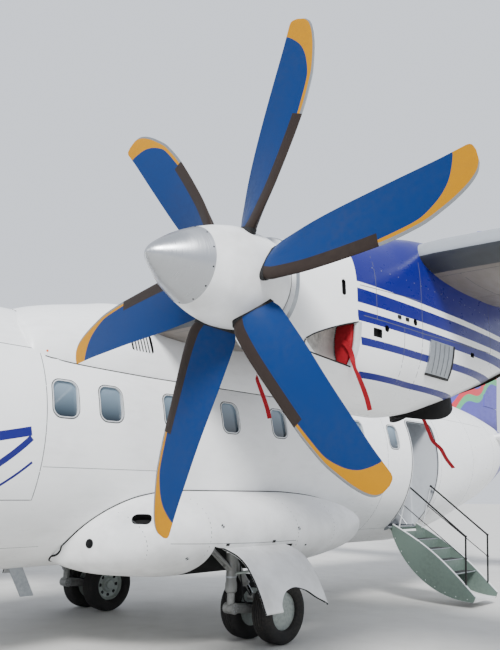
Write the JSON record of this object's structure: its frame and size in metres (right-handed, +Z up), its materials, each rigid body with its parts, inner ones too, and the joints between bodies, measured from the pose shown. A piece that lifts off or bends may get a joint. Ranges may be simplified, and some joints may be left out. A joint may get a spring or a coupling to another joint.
{
  "type": "turboprop airliner",
  "caption": "High-wing twin turboprop airliner parked on its tricycle gear, with turning propellers, hinged control surfaces and a fold-down airstair door.",
  "frame": {"origin": "on the ground under the middle of the aircraft's length and span", "axes": "+X to port along the span, +Y aft towards the tail, +Z up"},
  "size_m": [25.5, 22.6, 8.225],
  "materials": {
    "paint_white": "semi-gloss",
    "paint_blue": "semi-gloss",
    "blade_blue": "satin",
    "paint_violet": "semi-gloss",
    "paint_green": "satin",
    "polished_metal": "polished",
    "bare_metal": "satin",
    "gear_metal": "satin",
    "engine_metal": "dull",
    "exhaust_metal": "sooty",
    "glazing": "tinted",
    "tyre": "worn",
    "red_cover": "matte"
  },
  "bodies": {
    "airframe": {"radome": "paint_white", "cockpit_glazing": "glazing", "fuselage_front": "paint_white", "fuselage_middle": "paint_white", "fuselage_door_bay": "paint_white", "tail_cone": "paint_white", "wing_body_cover": "paint_white", "fin": "paint_violet", "nose_leg": "gear_metal", "belly_aerial": "bare_metal", "sponson_port": "paint_white", "flap_inner_port": "paint_white", "flap_outer_port": "paint_white", "wing_port": "paint_white", "nacelle_port": "paint_blue", "engine_port": "engine_metal", "exhaust_port": "exhaust_metal", "intake_blank_outer_port": "red_cover", "intake_blank_inner_port": "red_cover", "main_leg_port": "gear_metal", "main_gear_door_port": "paint_white", "nose_gear_door_port": "paint_white", "tailplane_port": "paint_white", "sponson_starboard": "paint_white", "flap_inner_starboard": "paint_white", "flap_outer_starboard": "paint_white", "wing_starboard": "paint_white", "nacelle_starboard": "paint_blue", "engine_starboard": "engine_metal", "exhaust_starboard": "exhaust_metal", "intake_blank_outer_starboard": "red_cover", "intake_blank_inner_starboard": "red_cover", "main_leg_starboard": "gear_metal", "main_gear_door_starboard": "paint_white", "nose_gear_door_starboard": "paint_white", "tailplane_starboard": "paint_white"},
    "propeller_port": {"propeller_port": "blade_blue", "spinner_cap_port": "polished_metal"},
    "propeller_starboard": {"propeller_starboard": "blade_blue", "spinner_cap_starboard": "polished_metal"},
    "main_wheels_port": {"main_wheels_port": "tyre"},
    "main_wheels_starboard": {"main_wheels_starboard": "tyre"},
    "nose_fork": {"nose_fork": "gear_metal"},
    "nose_wheels": {"nose_wheels": "tyre"},
    "airstair": {"airstair_door": "paint_green"},
    "rudder": {"rudder": "paint_violet"},
    "elevator_port": {"elevator_port": "paint_white"},
    "elevator_starboard": {"elevator_starboard": "paint_white"},
    "aileron_port": {"aileron_port": "paint_white"},
    "aileron_starboard": {"aileron_starboard": "paint_white"}
  },
  "joints": [
    {"name": "propeller_spin_port", "type": "hinge", "parent": "airframe", "child": "propeller_port", "pos_m": [4.1, -3, 3.03], "axis": [0, 1, 0], "continuous": true},
    {"name": "main_wheel_spin_port", "type": "hinge", "parent": "airframe", "child": "main_wheels_port", "pos_m": [1.588, 0.17, 0.35], "axis": [1, 0, 0], "continuous": true},
    {"name": "propeller_spin_starboard", "type": "hinge", "parent": "airframe", "child": "propeller_starboard", "pos_m": [-4.1, -3, 3.03], "axis": [0, 1, 0], "continuous": true},
    {"name": "main_wheel_spin_starboard", "type": "hinge", "parent": "airframe", "child": "main_wheels_starboard", "pos_m": [-1.588, 0.17, 0.35], "axis": [1, 0, 0], "continuous": true},
    {"name": "nose_steering", "type": "hinge", "parent": "airframe", "child": "nose_fork", "pos_m": [0, -7.8, 0.5], "axis": [0, 0, 1], "range_deg": [-50, 50]},
    {"name": "nose_wheel_spin", "type": "hinge", "parent": "nose_fork", "child": "nose_wheels", "pos_m": [0, -7.8, 0.29], "axis": [1, 0, 0], "continuous": true},
    {"name": "airstair_hinge", "type": "hinge", "parent": "airframe", "child": "airstair", "pos_m": [0.868, 4.45, 1.095], "axis": [0, -1, 0], "range_deg": [0, 113]},
    {"name": "rudder_hinge", "type": "hinge", "parent": "airframe", "child": "rudder", "pos_m": [0, 9.64283, 3.65], "axis": [0, 0.2629, 0.9648], "range_deg": [-25, 25]},
    {"name": "elevator_hinge_port", "type": "hinge", "parent": "airframe", "child": "elevator_port", "pos_m": [0.7, 9.65323, 2.80995], "axis": [0.9972, 0.023, 0.0709], "range_deg": [-20, 20]},
    {"name": "elevator_hinge_starboard", "type": "hinge", "parent": "airframe", "child": "elevator_starboard", "pos_m": [-4.42, 9.73915, 3.07431], "axis": [0.9972, -0.023, -0.0709], "range_deg": [-20, 20]},
    {"name": "aileron_hinge_port", "type": "hinge", "parent": "airframe", "child": "aileron_port", "pos_m": [8.96, 0.35019, 3.43406], "axis": [0.9974, -0.0674, -0.0269], "range_deg": [-20, 20]},
    {"name": "aileron_hinge_starboard", "type": "hinge", "parent": "airframe", "child": "aileron_starboard", "pos_m": [-12.3, 0.12453, 3.34395], "axis": [0.9974, 0.0674, 0.0269], "range_deg": [-20, 20]}
  ]
}
